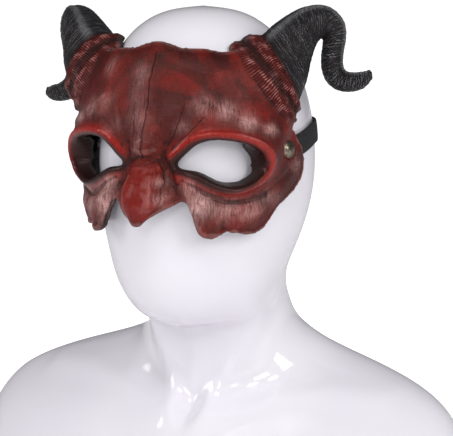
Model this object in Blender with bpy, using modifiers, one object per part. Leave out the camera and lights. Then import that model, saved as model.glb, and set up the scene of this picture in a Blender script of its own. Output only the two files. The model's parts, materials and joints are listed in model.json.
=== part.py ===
"""Half mask in cast foam with two horns, standing on a mannequin bust.

Metres, +Z up, the face looks along -Y. Tables are in millimetres and degrees.
"""

import math

import bpy
from mathutils import Vector

for old in list(bpy.data.objects):
    bpy.data.objects.remove(old, do_unlink=True)

MM = 0.001
GAP = 0.35  # air between pieces that touch

# The bust's head is 230 mm from crown to chin, which sets the scale of everything below.
AROUND = 44  # columns of the bust
WALL = 6.0  # foam wall, square to the head
NEAREST = 1.0  # inner face of the foam over the head
ROOT_CLEAR = 0.5  # horn roots are trimmed this far over the head

# Bust rows, crown to base: front y, z; back y, z; half width; share of depth at the widest; roundness.
BUST_ROWS = [
    (-22, 360, -22, 360, 0, 0.5, 2),
    (-52, 356.5, 10, 356, 30, 0.5, 2),
    (-78, 344, 37, 342, 50.5, 0.5, 2),
    (-95, 321, 57, 319, 66.5, 0.5, 2),
    (-103, 292, 69, 291, 75.5, 0.52, 2),
    (-106, 262, 73, 260, 79, 0.53, 2),
    (-107, 234, 71, 236, 79, 0.55, 2),
    (-107, 207, 64, 216, 76, 0.57, 2),
    (-105, 182, 57, 201, 71, 0.58, 2),
    (-101, 158, 55, 188, 64, 0.58, 2),
    (-92, 140, 56, 175, 57, 0.57, 2),
    (-72, 131, 57, 163, 54.5, 0.55, 2),
    (-52, 128, 58, 153, 54, 0.5, 2),
    (-40, 120, 60, 143, 55, 0.5, 2),
    (-36, 104, 63, 131, 59, 0.5, 2),
    (-35, 86, 66, 122, 70, 0.5, 2),
    (-40, 73, 70, 113, 96, 0.5, 1.7),
    (-50, 63, 74, 105, 129, 0.5, 1.6),
    (-63, 53, 78, 97, 158, 0.5, 1.7),
    (-75, 42, 82, 87, 179, 0.5, 1.9),
    (-85, 30, 86, 73, 191, 0.5, 2.1),
    (-92, 18, 88, 50, 198, 0.5, 2.3),
    (-96, 8, 89, 25, 200, 0.5, 2.4),
    (-98, 0, 88, 0, 201, 0.5, 2.5),
]

# One side of the mask, station by station round the eye from its inner corner:
# eye opening (degrees from the front, z, height over the head), lip of the rim, outer edge.
STATIONS = [
    ((13, 253, 5.5), (12.5, 255, 9.5), (0, 257, 13.5)),
    ((15.5, 257, 5), (15.5, 259, 10.8), (0, 270, 15)),
    ((18.5, 262, 5), (19, 263.5, 12), (0, 287, 12.5)),
    ((22, 267, 5), (22.5, 267.5, 13), (0, 304, 11)),
    ((26, 270, 4.6), (26, 269.5, 14), (0, 319, 10)),
    ((30, 271, 4.2), (29.5, 270.2, 15), (0, 332, 9)),
    ((33.5, 271, 3.8), (33, 270, 15.8), (14, 328.2, 8.5)),
    ((37, 270, 3.4), (37, 269.3, 17), (25.5, 328, 8.5)),
    ((40.5, 267.5, 3), (41, 268, 18.5), (36, 325.5, 9)),
    ((43.5, 263, 2.8), (45.5, 265, 20), (50, 325, 10)),
    ((46, 258, 2.6), (48.8, 260.3, 21), (64, 311, 10)),
    ((47.2, 252.8, 2.6), (50.3, 254.5, 21), (73, 294, 10)),
    ((46.8, 248.5, 2.6), (49.8, 249.4, 20), (69, 276, 8.8)),
    ((45.2, 245.3, 2.8), (47.6, 245, 18.5), (75, 261, 8.5)),
    ((42.6, 243, 3), (44.8, 241, 17), (75.5, 245, 8.5)),
    ((39.4, 241.6, 3.4), (41.5, 238.8, 15.5), (69.5, 232.5, 8.5)),
    ((36.2, 241.2, 3.8), (37.5, 237.9, 14.5), (60, 222.5, 9)),
    ((33, 242.2, 4.2), (34, 238.7, 14), (53, 208.5, 10)),
    ((30.2, 244, 4.6), (30.5, 240.4, 13.5), (44.5, 206, 11.5)),
    ((27.5, 246.2, 5), (27.3, 242.8, 13), (36, 209, 13)),
    ((24.8, 248.2, 5.4), (24.2, 245.4, 12.5), (29, 205, 16)),
    ((22.2, 249.6, 5.6), (21.5, 247.6, 12), (23.5, 208, 16)),
    ((19.8, 250.2, 5.8), (19, 248.9, 11.5), (20.8, 219, 13.5)),
    ((17.8, 250.6, 5.8), (16.8, 249.8, 11), (17.5, 228.5, 11.5)),
    ((16.2, 250.9, 5.8), (15, 250.2, 10), (12, 226, 14)),
    ((14.8, 251.2, 5.8), (13.7, 250.8, 9.5), (6, 219, 26)),
    ((13.8, 251.7, 5.8), (12.9, 251.8, 9.2), (0, 214, 31)),
    ((13.2, 252.3, 5.8), (12.5, 253.3, 9.2), (0, 236, 26)),
]
STEPS = 2  # columns to a station
NOSE_FROM = 26.0  # stations past this run up the nose and brow, where both sides meet
NOSE_TO = 5.0
ROLL = 4.6  # distance from the lip to the crown of the rolled rim
ROLL_RISE = 1.4
FOOT = 10.5  # distance from the lip to the foot of the roll
FOOT_DROP = 3.6
OUT_SHARES = (0.2, 0.4, 0.6, 0.8, 1.0)  # rows from the foot to the outer edge

# Folds and grooves: points (degrees, z), height, half width in mm.
FOLDS = [
    ([(0, 268), (0, 262)], 2.5, 8),
    ([(5.5, 300), (6, 283)], 1.2, 6),
    ([(9.5, 268), (8.5, 260), (12, 250), (13.5, 240), (14, 233)], -2.6, 3.2),
    ([(10, 272), (16, 290), (20, 312)], -1.6, 4.5),
    ([(15, 282), (24, 300), (30, 318)], 1.8, 6),
    ([(17, 244), (23, 239), (29, 231), (36, 228), (45, 228), (53, 231)], -2.8, 4.5),
    ([(18, 238), (24, 231), (31, 222), (40, 218), (49, 222), (58, 232)], 3.6, 5),
    ([(28, 210), (30, 216)], 1.8, 6),
    ([(36, 208), (37, 214)], -1.6, 4),
    ([(46, 209), (48, 215)], 1.4, 6),
]
MM_PER_DEGREE = 1.45  # along the head at eye level

# Horn and collar sections, root to tip: centre, tilt of the long radius in degrees, long and short radius.
HORN = [
    ((50, -50, 299), 133, 34, 21),
    ((56.6, -56.5, 303.8), 133, 36, 22),
    ((60.5, -56, 307), 131, 36.8, 24.5),
    ((63.4, -55.4, 309.4), 129, 35.5, 25.2),
    ((65, -54.8, 311), 127, 31.8, 22.8),
    ((67, -54.4, 312.6), 126, 33, 25.6),
    ((70, -53.8, 315.2), 124, 32, 26.2),
    ((72, -53.4, 316.8), 122.5, 29.5, 24.8),
    ((73.4, -53.1, 317.9), 121.6, 27, 22.6),
    ((76.5, -52.2, 323), 121, 24.6, 21),
    ((80.5, -50.7, 329.8), 120, 22, 19.6),
    ((86, -46.8, 340.2), 116, 17, 16.4),
    ((91.4, -41.8, 347.2), 108, 13.4, 13.4),
    ((98.5, -35, 349.6), 80, 11, 11.4),
    ((104, -30.8, 344.4), 30, 9, 9.8),
    ((104.6, -29.8, 336), 10, 8.3, 9),
    ((103.2, -29.5, 326), 7, 8, 8.3),
    ((102.7, -28.3, 316.5), 17, 7.9, 8),
    ((104.5, -26.9, 308.8), 40, 7.8, 7.8),
    ((109.5, -26.1, 303.6), 66, 7.4, 7.4),
    ((117, -25.6, 301.6), 86, 6.8, 6.8),
    ((124.5, -25.1, 302), 96, 5.8, 5.8),
    ((129.5, -25, 304), 102, 3.6, 3.6),
]
HORN_SIDES = 14
HORN_VIEW = (24.5, 9)  # direction in which the horn sections were measured
SAG_FROM = 14  # the soft horn ends hang differently on the two sides from this section on
SAG_LEFT = 8.5
SAG_RIGHT = -9.5
TIP_ROUND = 2.4

# Rivet, strap and the tab that they hold, stacked outwards from the head.
RIVET_AT = (65.6, 261)  # degrees from the front, z
RIVET_CLEAR = 0.9
WASHER_RADIUS = 4.4
WASHER_THICK = 0.8
SHANK_RADIUS = 2.2
HOLE_CLEAR = 0.4
HEAD_RADIUS = 6.2
HEAD_EDGE = 0.4
HEAD_HEIGHT = 2.9
SEAT_MARGIN = 0.5
SEAT_DEPTH = 0.35
RIVET_SIDES = 16
STRAP_WIDTH = 17.0
STRAP_THICK = 1.5
STRAP_CLEAR = 1.0
STRAP_RISE = 8.0
STRAP_COLUMNS = 45
TAB_WALL = 4.1
TAB_EASE = 0.7  # air over the strap under the tab

strap_low = RIVET_CLEAR + WASHER_THICK + GAP
tab_low = strap_low + STRAP_THICK + TAB_EASE
tab_top = tab_low + TAB_WALL
strap_start = RIVET_AT[0] - (HEAD_RADIUS + 1.0) / 1.5


def smooth_rows(rows, steps, closed=False):
    """Catmull-Rom rows through the given ones."""
    count = len(rows)
    spans = count if closed else count - 1
    result = []
    for i in range(spans):
        near = []
        for k in range(-1, 3):
            if closed:
                near.append(rows[(i + k) % count])
            elif i + k < 0:
                near.append([2 * a - b for a, b in zip(rows[0], rows[1])])
            elif i + k >= count:
                near.append([2 * a - b for a, b in zip(rows[-1], rows[-2])])
            else:
                near.append(rows[i + k])
        for step in range(steps):
            t = step / steps
            result.append([
                0.5 * (2 * b + (c - a) * t + (2 * a - 5 * b + 4 * c - d) * t * t + (3 * b - a - 3 * c + d) * t ** 3)
                for a, b, c, d in zip(*near)
            ])
    if not closed:
        result.append(list(rows[-1]))
    return result


def row_point(row, angle):
    """Point of a bust row at an angle from the front, towards +X."""
    front_y, front_z, back_y, back_z, half, widest, power = row
    s = math.sin(angle)
    c = math.cos(angle)
    x = half * math.copysign(abs(s) ** (2 / power), s)
    depth = math.copysign(abs(c) ** (2 / power), c)
    share = widest - (widest if depth > 0 else 1 - widest) * depth
    return Vector((x, front_y + (back_y - front_y) * share, front_z + (back_z - front_z) * share))


FINE_ROWS = smooth_rows(BUST_ROWS, 6)


def skin_point(degrees, z):
    """Point of the head at that angle and height."""
    angle = math.radians(degrees)
    upper = row_point(FINE_ROWS[0], angle)
    for row in FINE_ROWS[1:]:
        lower = row_point(row, angle)
        if lower.z <= z:
            return upper.lerp(lower, (upper.z - z) / max(upper.z - lower.z, 1e-6))
        upper = lower
    return upper


def over_head(degrees, z, height):
    """Point that far over the head, square to it."""
    here = skin_point(degrees, z)
    across = skin_point(degrees + 1, z) - skin_point(degrees - 1, z)
    along = skin_point(degrees, z + 2) - skin_point(degrees, z - 2)
    return here + across.cross(along).normalized() * height


def collection(name):
    made = bpy.data.collections.new(name)
    bpy.context.scene.collection.children.link(made)
    return made


pieces = collection("devil_mask_on_bust")
tools = collection("cutters")
stand = bpy.data.objects.new("stand", None)
pieces.objects.link(stand)


def paint(name, colour, roughness, metallic=0.0):
    made = bpy.data.materials.new(name)
    made.use_nodes = True
    shader = made.node_tree.nodes["Principled BSDF"]
    shader.inputs["Base Color"].default_value = (*colour, 1)
    shader.inputs["Roughness"].default_value = roughness
    shader.inputs["Metallic"].default_value = metallic
    return made


def new_object(name, points, faces, edges=(), material=None):
    """Object from points in millimetres; without a material it is a cutter."""
    mesh = bpy.data.meshes.new(name)
    mesh.from_pydata([Vector(p) * MM for p in points], list(edges), faces)
    mesh.update()
    made = bpy.data.objects.new(name, mesh)
    if material:
        pieces.objects.link(made)
        made.parent = stand
        mesh.materials.append(material)
        mesh.shade_smooth()
        mesh.set_sharp_from_angle(angle=math.radians(45))
    else:
        tools.objects.link(made)
        made.hide_render = True
        made.display_type = "WIRE"
    return made


def skinned(rings, first=None, last=None):
    """Points and faces of a loft through closed rings, ended by a point or by a flat cap."""
    points = [p for ring in rings for p in ring]
    size = len(rings[0])
    faces = []
    for i in range(len(rings) - 1):
        for j in range(size):
            k = (j + 1) % size
            faces.append((i * size + j, i * size + k, (i + 1) * size + k, (i + 1) * size + j))
    start = (len(rings) - 1) * size
    if first is None:
        faces.append(tuple(reversed(range(size))))
    else:
        points.append(first)
        faces += [(len(points) - 1, (j + 1) % size, j) for j in range(size)]
    if last is None:
        faces.append(tuple(range(start, start + size)))
    else:
        points.append(last)
        faces += [(len(points) - 1, start + j, start + (j + 1) % size) for j in range(size)]
    return points, faces


def outward(points, faces):
    """The same faces, turned if the solid is inside out."""
    volume = 0
    for face in faces:
        for a, b in zip(face[1:-1], face[2:]):
            volume += Vector(points[face[0]]).dot(Vector(points[a]).cross(Vector(points[b])))
    return faces if volume > 0 else [tuple(reversed(face)) for face in faces]


def cut(target, tool, operation):
    change = target.modifiers.new(operation.lower() + "_" + tool.name, "BOOLEAN")
    change.operation = operation
    change.solver = "EXACT"
    change.object = tool


def bust_rings(rows, columns, extra=0.0):
    rings = []
    for row in rows[1:]:
        ring = []
        for j in range(columns):
            point = row_point(row, 2 * math.pi * j / columns)
            centre = Vector((0, (row[0] + row[2]) / 2, point.z))
            ring.append(point + (point - centre).normalized() * extra)
        rings.append(ring)
    return rings


# Mannequin bust: a loft from the crown down to the flat base.
crown = Vector((0, BUST_ROWS[0][0], BUST_ROWS[0][1]))
points, faces = skinned(bust_rings(BUST_ROWS, AROUND), crown)
white = paint("bust_gloss", (0.83, 0.82, 0.86), 0.12)
new_object("mannequin_bust", points, outward(points, faces), material=white)

# Cutter that keeps the foam off the head.
head_rows = [row for row in smooth_rows(BUST_ROWS, 2) if row[1] > 150]
points, faces = skinned(bust_rings(head_rows, 56, ROOT_CLEAR), crown + Vector((0, 0, ROOT_CLEAR)))
keep_clear = new_object("keep_clear", points, outward(points, faces))


def fold_height(degrees, z):
    """Sum of the folds and grooves at a place on the head."""
    total = 0
    here = Vector((degrees * MM_PER_DEGREE, z))
    for path, height, reach in FOLDS:
        nearest = 1e9
        for a, b in zip(path[:-1], path[1:]):
            start = Vector((a[0] * MM_PER_DEGREE, a[1]))
            end = Vector((b[0] * MM_PER_DEGREE, b[1]))
            run = end - start
            share = min(1, max(0, (here - start).dot(run) / run.length_squared))
            nearest = min(nearest, (here - start - run * share).length)
        total += height * math.exp(-((nearest / reach) ** 2))
    return total


def eased(a, b, t):
    return [p + (q - p) * t for p, q in zip(a, b)]


columns = smooth_rows([hole + lip + edge for hole, lip, edge in STATIONS], STEPS, closed=True)


def tab_share(degrees, z):
    """One over the riveted tab, falling to nothing round it."""
    across = (degrees - 69.5) / 10.5
    along = (z - RIVET_AT[1]) / (STRAP_WIDTH / 2 + 6.5)
    return math.exp(-(across ** 4) - along ** 4)


def column_points(index):
    """Places (degrees, z, outer height) from the eye opening to the outer edge."""
    hole = columns[index][0:3]
    lip = columns[index][3:6]
    edge = columns[index][6:9]
    station = index / STEPS
    middle = station >= NOSE_FROM or station <= NOSE_TO
    edge[0] = 0.0 if middle else max(0.0, edge[0])
    run = math.hypot((edge[0] - lip[0]) * MM_PER_DEGREE, edge[1] - lip[1])
    roll = min(ROLL / run, 0.22)
    foot = min(FOOT / run, 0.45)
    size = min(1.0, (lip[2] - 8) / 8)
    places = [hole, eased(hole, lip, 0.5), lip]
    places[1][2] += 0.6
    crown_place = eased(lip, edge, roll)
    crown_place[2] = lip[2] + ROLL_RISE * size
    foot_height = lip[2] - FOOT_DROP * size
    places.append(crown_place)
    for share in (0.0,) + OUT_SHARES:
        place = eased(lip, edge, foot + (1 - foot) * share)
        rise = 1 - (1 - share) ** 2.8 if middle else share
        place[2] = foot_height + (edge[2] - foot_height) * rise
        place[2] += fold_height(place[0], place[1]) * (1 if share < 1 or middle else 0.5)
        places.append(place)
    for place in places:
        if place[0] > 56:
            place[2] += tab_share(place[0], place[1]) * max(0.0, tab_top - place[2])
    return places


def inner_height(degrees, z, height):
    """Height of the foam's inner face under an outer place."""
    wall = WALL + (TAB_WALL - WALL) * tab_share(degrees, z)
    return max(NEAREST, height - wall)


# Mask: one side as a closed shell, open only at the middle plane, then mirrored.
grid = [column_points(i) for i in range(len(columns))]
rows = len(grid[0])
shell_points = []
for column in grid:
    for degrees, z, height in column:
        for level in (height, inner_height(degrees, z, height)):
            place = over_head(degrees, z, level)
            place.x = 0.0 if degrees == 0.0 else place.x
            shell_points.append(place)


def number(i, j, inner):
    return ((i % len(grid)) * rows + j) * 2 + inner


shell_faces = []
for i in range(len(grid)):
    for j in range(rows - 1):
        for inner in (0, 1):
            quad = [number(i, j, inner), number(i + 1, j, inner), number(i + 1, j + 1, inner), number(i, j + 1, inner)]
            shell_faces.append(tuple(quad if inner else reversed(quad)))
    for j in (0, rows - 1):
        if grid[i][j][0] == 0.0 and grid[(i + 1) % len(grid)][j][0] == 0.0:
            continue
        quad = [number(i, j, 0), number(i + 1, j, 0), number(i + 1, j, 1), number(i, j, 1)]
        shell_faces.append(tuple(reversed(quad) if j else quad))
foam = paint("foam_red", (0.22, 0.018, 0.012), 0.42)
mask = new_object("mask", shell_points, shell_faces, material=foam)
mirror = mask.modifiers.new("other_side", "MIRROR")
mirror.merge_threshold = 0.00001


# Horns with their collars: lofts joined to the shell.
azimuth = math.radians(HORN_VIEW[0])
elevation = math.radians(HORN_VIEW[1])
view_right = Vector((math.cos(azimuth), math.sin(azimuth), 0))
view_up = Vector((
    -math.sin(azimuth) * math.sin(elevation),
    math.cos(azimuth) * math.sin(elevation),
    math.cos(elevation),
))
view_back = view_right.cross(view_up)


def horn(name, side, sag):
    rings = []
    for step, (centre, tilt, long_radius, short_radius) in enumerate(HORN):
        lean = math.radians(tilt)
        share = max(0, (step - SAG_FROM) / (len(HORN) - 1 - SAG_FROM))
        middle = Vector(centre) + Vector((0, 0, sag * share ** 1.2))
        long_axis = (view_right * math.cos(lean) + view_up * math.sin(lean)) * long_radius
        short_axis = view_back * short_radius
        ring = []
        for k in range(HORN_SIDES):
            turn = 2 * math.pi * k / HORN_SIDES
            point = middle + long_axis * math.cos(turn) + short_axis * math.sin(turn)
            ring.append(Vector((point.x * side, point.y, point.z)))
        rings.append(ring)
    end = sum(rings[-1], Vector()) / HORN_SIDES
    before = sum(rings[-2], Vector()) / HORN_SIDES
    points, faces = skinned(rings, None, end + (end - before).normalized() * TIP_ROUND)
    return new_object(name, points, outward(points, faces))


cut(mask, horn("horn_left", 1, SAG_LEFT), "UNION")
cut(mask, horn("horn_right", -1, SAG_RIGHT), "UNION")
cut(mask, keep_clear, "DIFFERENCE")


# Elastic strap: a strip laid round the back of the head, thickened outwards.
def strap_row(degrees):
    away = min(degrees, 360 - degrees)
    side = 1 if degrees <= 180 else -1
    rise = min(1, max(0, (away - RIVET_AT[0] - 4) / 34))
    z = RIVET_AT[1] + STRAP_RISE * rise * rise * (3 - 2 * rise)
    settle = min(1, max(0, (away - RIVET_AT[0] - 8) / 12))
    low = strap_low + (STRAP_CLEAR - strap_low) * settle * settle * (3 - 2 * settle)
    row = []
    for offset in (-0.5, 0, 0.5):
        point = over_head(away, z + offset * STRAP_WIDTH, low)
        row.append(Vector((point.x * side, point.y, point.z)))
    return row


points = []
faces = []
for i in range(STRAP_COLUMNS):
    points += strap_row(strap_start + (360 - 2 * strap_start) * i / (STRAP_COLUMNS - 1))
for i in range(STRAP_COLUMNS - 1):
    for j in range(2):
        faces.append((i * 3 + j, (i + 1) * 3 + j, (i + 1) * 3 + j + 1, i * 3 + j + 1))
band = paint("elastic_black", (0.012, 0.012, 0.013), 0.85)
strap = new_object("elastic_strap", points, faces, material=band)
thicken = strap.modifiers.new("thickness", "SOLIDIFY")
thicken.thickness = STRAP_THICK * MM
thicken.offset = 1


# Rivets, their holes and seats: turned about the line square to the head.
def turned(name, side, profile, material=None):
    """Profile of (radius, height over the head), top to bottom, turned on a rivet's line."""
    points = [(radius, 0, height) for radius, height in profile]
    edges = [(k, k + 1) for k in range(len(points) - 1)]
    made = new_object(name, points, [], edges, material)
    base = over_head(RIVET_AT[0], RIVET_AT[1], 0)
    axis = over_head(RIVET_AT[0], RIVET_AT[1], 10) - base
    made.location = Vector((base.x * side, base.y, base.z)) * MM
    made.rotation_mode = "QUATERNION"
    made.rotation_quaternion = Vector((axis.x * side, axis.y, axis.z)).to_track_quat("Z", "Y")
    screw = made.modifiers.new("turn", "SCREW")
    screw.steps = RIVET_SIDES
    screw.render_steps = RIVET_SIDES
    screw.use_merge_vertices = True
    screw.merge_threshold = 0.000001
    return made


seat = tab_top - SEAT_DEPTH
head_low = seat + GAP
washer_top = RIVET_CLEAR + WASHER_THICK
rivet_profile = [
    (0, head_low + HEAD_HEIGHT),
    (HEAD_RADIUS * 0.48, head_low + HEAD_HEIGHT * 0.9),
    (HEAD_RADIUS * 0.84, head_low + HEAD_HEIGHT * 0.58),
    (HEAD_RADIUS, head_low + HEAD_EDGE),
    (HEAD_RADIUS, head_low),
    (SHANK_RADIUS, head_low),
    (SHANK_RADIUS, washer_top),
    (WASHER_RADIUS, washer_top),
    (WASHER_RADIUS, RIVET_CLEAR),
    (0, RIVET_CLEAR),
]
hole_radius = SHANK_RADIUS + HOLE_CLEAR
seat_radius = HEAD_RADIUS + SEAT_MARGIN
hole_profile = [(0, seat + 8), (seat_radius, seat + 8), (seat_radius, seat), (hole_radius, seat), (hole_radius, 0.4), (0, 0.4)]
slot_profile = [(0, tab_low + 2), (hole_radius, tab_low + 2), (hole_radius, 0.4), (0, 0.4)]
brass = paint("rivet_metal", (0.45, 0.38, 0.26), 0.3, 1.0)
for side, word in ((1, "left"), (-1, "right")):
    turned("rivet_" + word, side, rivet_profile, brass)
    cut(mask, turned("hole_" + word, side, hole_profile), "DIFFERENCE")
    cut(strap, turned("slot_" + word, side, slot_profile), "DIFFERENCE")
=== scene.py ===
import json
import math

import bpy
import numpy as np
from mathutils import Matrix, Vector

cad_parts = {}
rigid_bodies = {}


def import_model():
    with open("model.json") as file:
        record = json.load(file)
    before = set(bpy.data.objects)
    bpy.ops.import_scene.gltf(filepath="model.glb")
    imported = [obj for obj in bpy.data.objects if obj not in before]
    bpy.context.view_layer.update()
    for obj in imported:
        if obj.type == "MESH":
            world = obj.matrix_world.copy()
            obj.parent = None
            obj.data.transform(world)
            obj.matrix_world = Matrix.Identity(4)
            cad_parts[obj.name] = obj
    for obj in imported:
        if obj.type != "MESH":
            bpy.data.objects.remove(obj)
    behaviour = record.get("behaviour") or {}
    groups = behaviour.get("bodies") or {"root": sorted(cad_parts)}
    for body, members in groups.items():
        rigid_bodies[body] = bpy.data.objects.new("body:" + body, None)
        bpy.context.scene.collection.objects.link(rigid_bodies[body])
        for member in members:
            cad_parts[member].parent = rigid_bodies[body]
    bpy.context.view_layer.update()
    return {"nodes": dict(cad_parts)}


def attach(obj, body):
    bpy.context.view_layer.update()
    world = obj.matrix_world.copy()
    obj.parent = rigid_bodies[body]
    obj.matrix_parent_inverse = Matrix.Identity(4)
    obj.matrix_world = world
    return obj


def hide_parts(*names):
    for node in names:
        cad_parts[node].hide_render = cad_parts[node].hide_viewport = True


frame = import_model()
scene = bpy.context.scene
print("frame loaded")

# Camera at the photograph's angle
cameraSet = {
    "azimuth": 23.5,
    "elevation": 9.0,
    "distance": 1.0,
    "target": (0.0155, -0.014, 0.203),
    "focalPixels": 1330,
    "imageWidth": 453,
    "sensorWidth": 36,
}
turn = math.radians(cameraSet["azimuth"])
lift = math.radians(cameraSet["elevation"])
towards = Vector((math.sin(turn) * math.cos(lift), -math.cos(turn) * math.cos(lift), math.sin(lift)))
bpy.ops.object.camera_add(location=Vector(cameraSet["target"]) + towards * cameraSet["distance"])
camera = bpy.context.object
camera.name = "photoCamera"
camera.rotation_euler = (-towards).to_track_quat("-Z", "Y").to_euler()
camera.data.sensor_width = cameraSet["sensorWidth"]
camera.data.lens = cameraSet["focalPixels"] / cameraSet["imageWidth"] * cameraSet["sensorWidth"]
camera.data.clip_start = 0.01
scene.camera = camera
print("camera placed")


# Small tools for the mesh work
def selectOnly(piece):
    bpy.ops.object.select_all(action="DESELECT")
    piece.select_set(True)
    bpy.context.view_layer.objects.active = piece


def applyModifier(piece, kind, **settings):
    selectOnly(piece)
    added = piece.modifiers.new(kind.lower(), kind)
    for name, value in settings.items():
        setattr(added, name, value)
    bpy.ops.object.modifier_apply(modifier=added.name)


def copyOfNode(nodeName, pieceName):
    mesh = frame["nodes"][nodeName].data.copy()
    mesh.name = pieceName
    mesh.materials.clear()
    piece = bpy.data.objects.new(pieceName, mesh)
    scene.collection.objects.link(piece)
    selectOnly(piece)
    widest = math.radians(70)  # the sharpest fold that two triangles may have and still join
    bpy.ops.object.mode_set(mode="EDIT")
    bpy.ops.mesh.select_all(action="SELECT")
    bpy.ops.mesh.remove_doubles(threshold=0.00001)
    bpy.ops.mesh.tris_convert_to_quads(face_threshold=widest, shape_threshold=widest)
    bpy.ops.object.mode_set(mode="OBJECT")
    return piece


def readPoints(mesh):
    flat = np.empty(len(mesh.vertices) * 3)
    mesh.vertices.foreach_get("co", flat)
    return flat.reshape(-1, 3) * 1000  # worked in millimetres


def readNormals(mesh):
    flat = np.empty(len(mesh.vertices) * 3, np.float32)
    mesh.vertex_normals.foreach_get("vector", flat)
    return flat.reshape(-1, 3).astype(float)


def writePoints(mesh, points):
    mesh.vertices.foreach_set("co", (points / 1000).ravel())
    mesh.update()


def readEdges(mesh):
    flat = np.empty(len(mesh.edges) * 2, np.int32)
    mesh.edges.foreach_get("vertices", flat)
    return flat.reshape(-1, 2)


# pulls every vertex towards the mean of its neighbours, once for each pull
def relax(values, edges, pulls):
    count = len(values)
    near = np.concatenate([edges[:, 0], edges[:, 1]])
    other = np.concatenate([edges[:, 1], edges[:, 0]])
    degree = np.maximum(np.bincount(near, minlength=count), 1)
    values = values.copy()
    for pull in pulls:
        for axis in range(values.shape[1]):
            mean = np.bincount(near, weights=values[other, axis], minlength=count) / degree
            values[:, axis] += pull * (mean - values[:, axis])
    return values


def soften(values, edges, rounds):
    return relax(values, edges, [0.5] * rounds)


def ease(low, high, value):
    share = np.clip((value - low) / (high - low), 0, 1)
    return share * share * (3 - 2 * share)


# distance to a line of points in a plane
def nearPath(across, up, path):
    nearest = np.full(len(across), 1e9)
    for (ax, ay), (bx, by) in zip(path[:-1], path[1:]):
        dx, dy = bx - ax, by - ay
        share = np.clip(((across - ax) * dx + (up - ay) * dy) / (dx * dx + dy * dy), 0, 1)
        nearest = np.minimum(nearest, np.hypot(across - ax - dx * share, up - ay - dy * share))
    return nearest


# 1 on a line, fading out over the reach
def ridge(gap, reach):
    return np.exp(-(gap / reach) ** 2)


def keepValue(mesh, name, values):
    kept = mesh.attributes.new(name, "FLOAT", "POINT")
    kept.data.foreach_set("value", values.astype(np.float32))


def keepVector(mesh, name, values):
    kept = mesh.attributes.new(name, "FLOAT_VECTOR", "POINT")
    kept.data.foreach_set("vector", values.astype(np.float32).ravel())


# Small tools for the materials
def put(tree, kind, wires=None, **settings):
    made = tree.nodes.new(kind)
    for name, value in settings.items():
        setattr(made, name, value)
    for name, value in (wires or {}).items():
        if isinstance(value, bpy.types.NodeSocket):
            tree.links.new(value, made.inputs[name])
        else:
            made.inputs[name].default_value = value
    return made


def sums(tree, operation, first, second=0.5, third=None):
    wires = {0: first, 1: second}
    if third is not None:
        wires[2] = third
    return put(tree, "ShaderNodeMath", wires, operation=operation).outputs[0]


def times(tree, first, second):
    return sums(tree, "MULTIPLY", first, second)


def vectors(tree, operation, first, second, output="Vector"):
    return put(tree, "ShaderNodeVectorMath", {0: first, 1: second}, operation=operation).outputs[output]


def blend(tree, share, first, second):
    return put(tree, "ShaderNodeMix", {0: share, 6: first, 7: second}, data_type="RGBA").outputs[2]


def blendValues(tree, share, first, second):
    return put(tree, "ShaderNodeMix", {0: share, 2: first, 3: second}, data_type="FLOAT").outputs[0]


def clamped(tree, value):
    return put(tree, "ShaderNodeClamp", {0: value}).outputs[0]


def eased(tree, value, low, high, start=0.0, end=1.0):
    wires = {"Value": value, "From Min": low, "From Max": high, "To Min": start, "To Max": end}
    return put(tree, "ShaderNodeMapRange", wires, interpolation_type="SMOOTHSTEP").outputs[0]


def attribute(tree, name, output="Fac"):
    return put(tree, "ShaderNodeAttribute", attribute_name=name).outputs[output]


def noise(tree, vector, scale, detail=3.0, rough=0.55, twist=0.0):
    wires = {"Vector": vector, "Scale": scale, "Detail": detail, "Roughness": rough, "Distortion": twist}
    return put(tree, "ShaderNodeTexNoise", wires).outputs["Fac"]


def stretched(tree, vector, factors):
    return vectors(tree, "MULTIPLY", vector, factors)


def bumped(tree, shader, height, strength, distance):
    wires = {"Strength": strength, "Distance": distance, "Height": height}
    tree.links.new(put(tree, "ShaderNodeBump", wires).outputs[0], shader.inputs["Normal"])


def newGroup(name, inputs, outputs):
    group = bpy.data.node_groups.new(name, "ShaderNodeTree")
    for label, kind, value in inputs:
        socket = group.interface.new_socket(label, in_out="INPUT", socket_type=kind)
        if value is not None:
            socket.default_value = value
    for label, kind in outputs:
        group.interface.new_socket(label, in_out="OUTPUT", socket_type=kind)
    return group, group.nodes.new("NodeGroupInput").outputs, group.nodes.new("NodeGroupOutput").inputs


def useGroup(tree, group, wires):
    made = tree.nodes.new("ShaderNodeGroup")
    made.node_tree = group
    for name, value in wires.items():
        if isinstance(value, bpy.types.NodeSocket):
            tree.links.new(value, made.inputs[name])
        else:
            made.inputs[name].default_value = value
    return made.outputs


def newMaterial(name):
    made = bpy.data.materials.new(name)
    made.use_nodes = True
    tree = made.node_tree
    return made, tree, tree.nodes["Principled BSDF"]


# Shared effects: a cut line, crests rubbed bare in patches, and fine specks
cutLine, ins, outs = newGroup(
    "cutLine",
    [("Place", "NodeSocketVector", None), ("Start", "NodeSocketVector", None),
     ("End", "NodeSocketVector", None), ("Width", "NodeSocketFloat", 0.6)],
    [("Mask", "NodeSocketFloat")],
)
fromStart = vectors(cutLine, "SUBTRACT", ins["Place"], ins["Start"])
wholeRun = vectors(cutLine, "SUBTRACT", ins["End"], ins["Start"])
along = vectors(cutLine, "DOT_PRODUCT", fromStart, wholeRun, "Value")
square = vectors(cutLine, "DOT_PRODUCT", wholeRun, wholeRun, "Value")
share = put(cutLine, "ShaderNodeMath", {0: along, 1: square}, operation="DIVIDE", use_clamp=True).outputs[0]
foot = put(cutLine, "ShaderNodeVectorMath", {0: wholeRun, 3: share}, operation="SCALE").outputs[0]
gap = vectors(cutLine, "DISTANCE", fromStart, foot, "Value")
thinning = sums(cutLine, "MULTIPLY_ADD", share, -0.25, 1.0)  # a cut narrows towards its end
reach = times(cutLine, ins["Width"], thinning)
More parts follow.
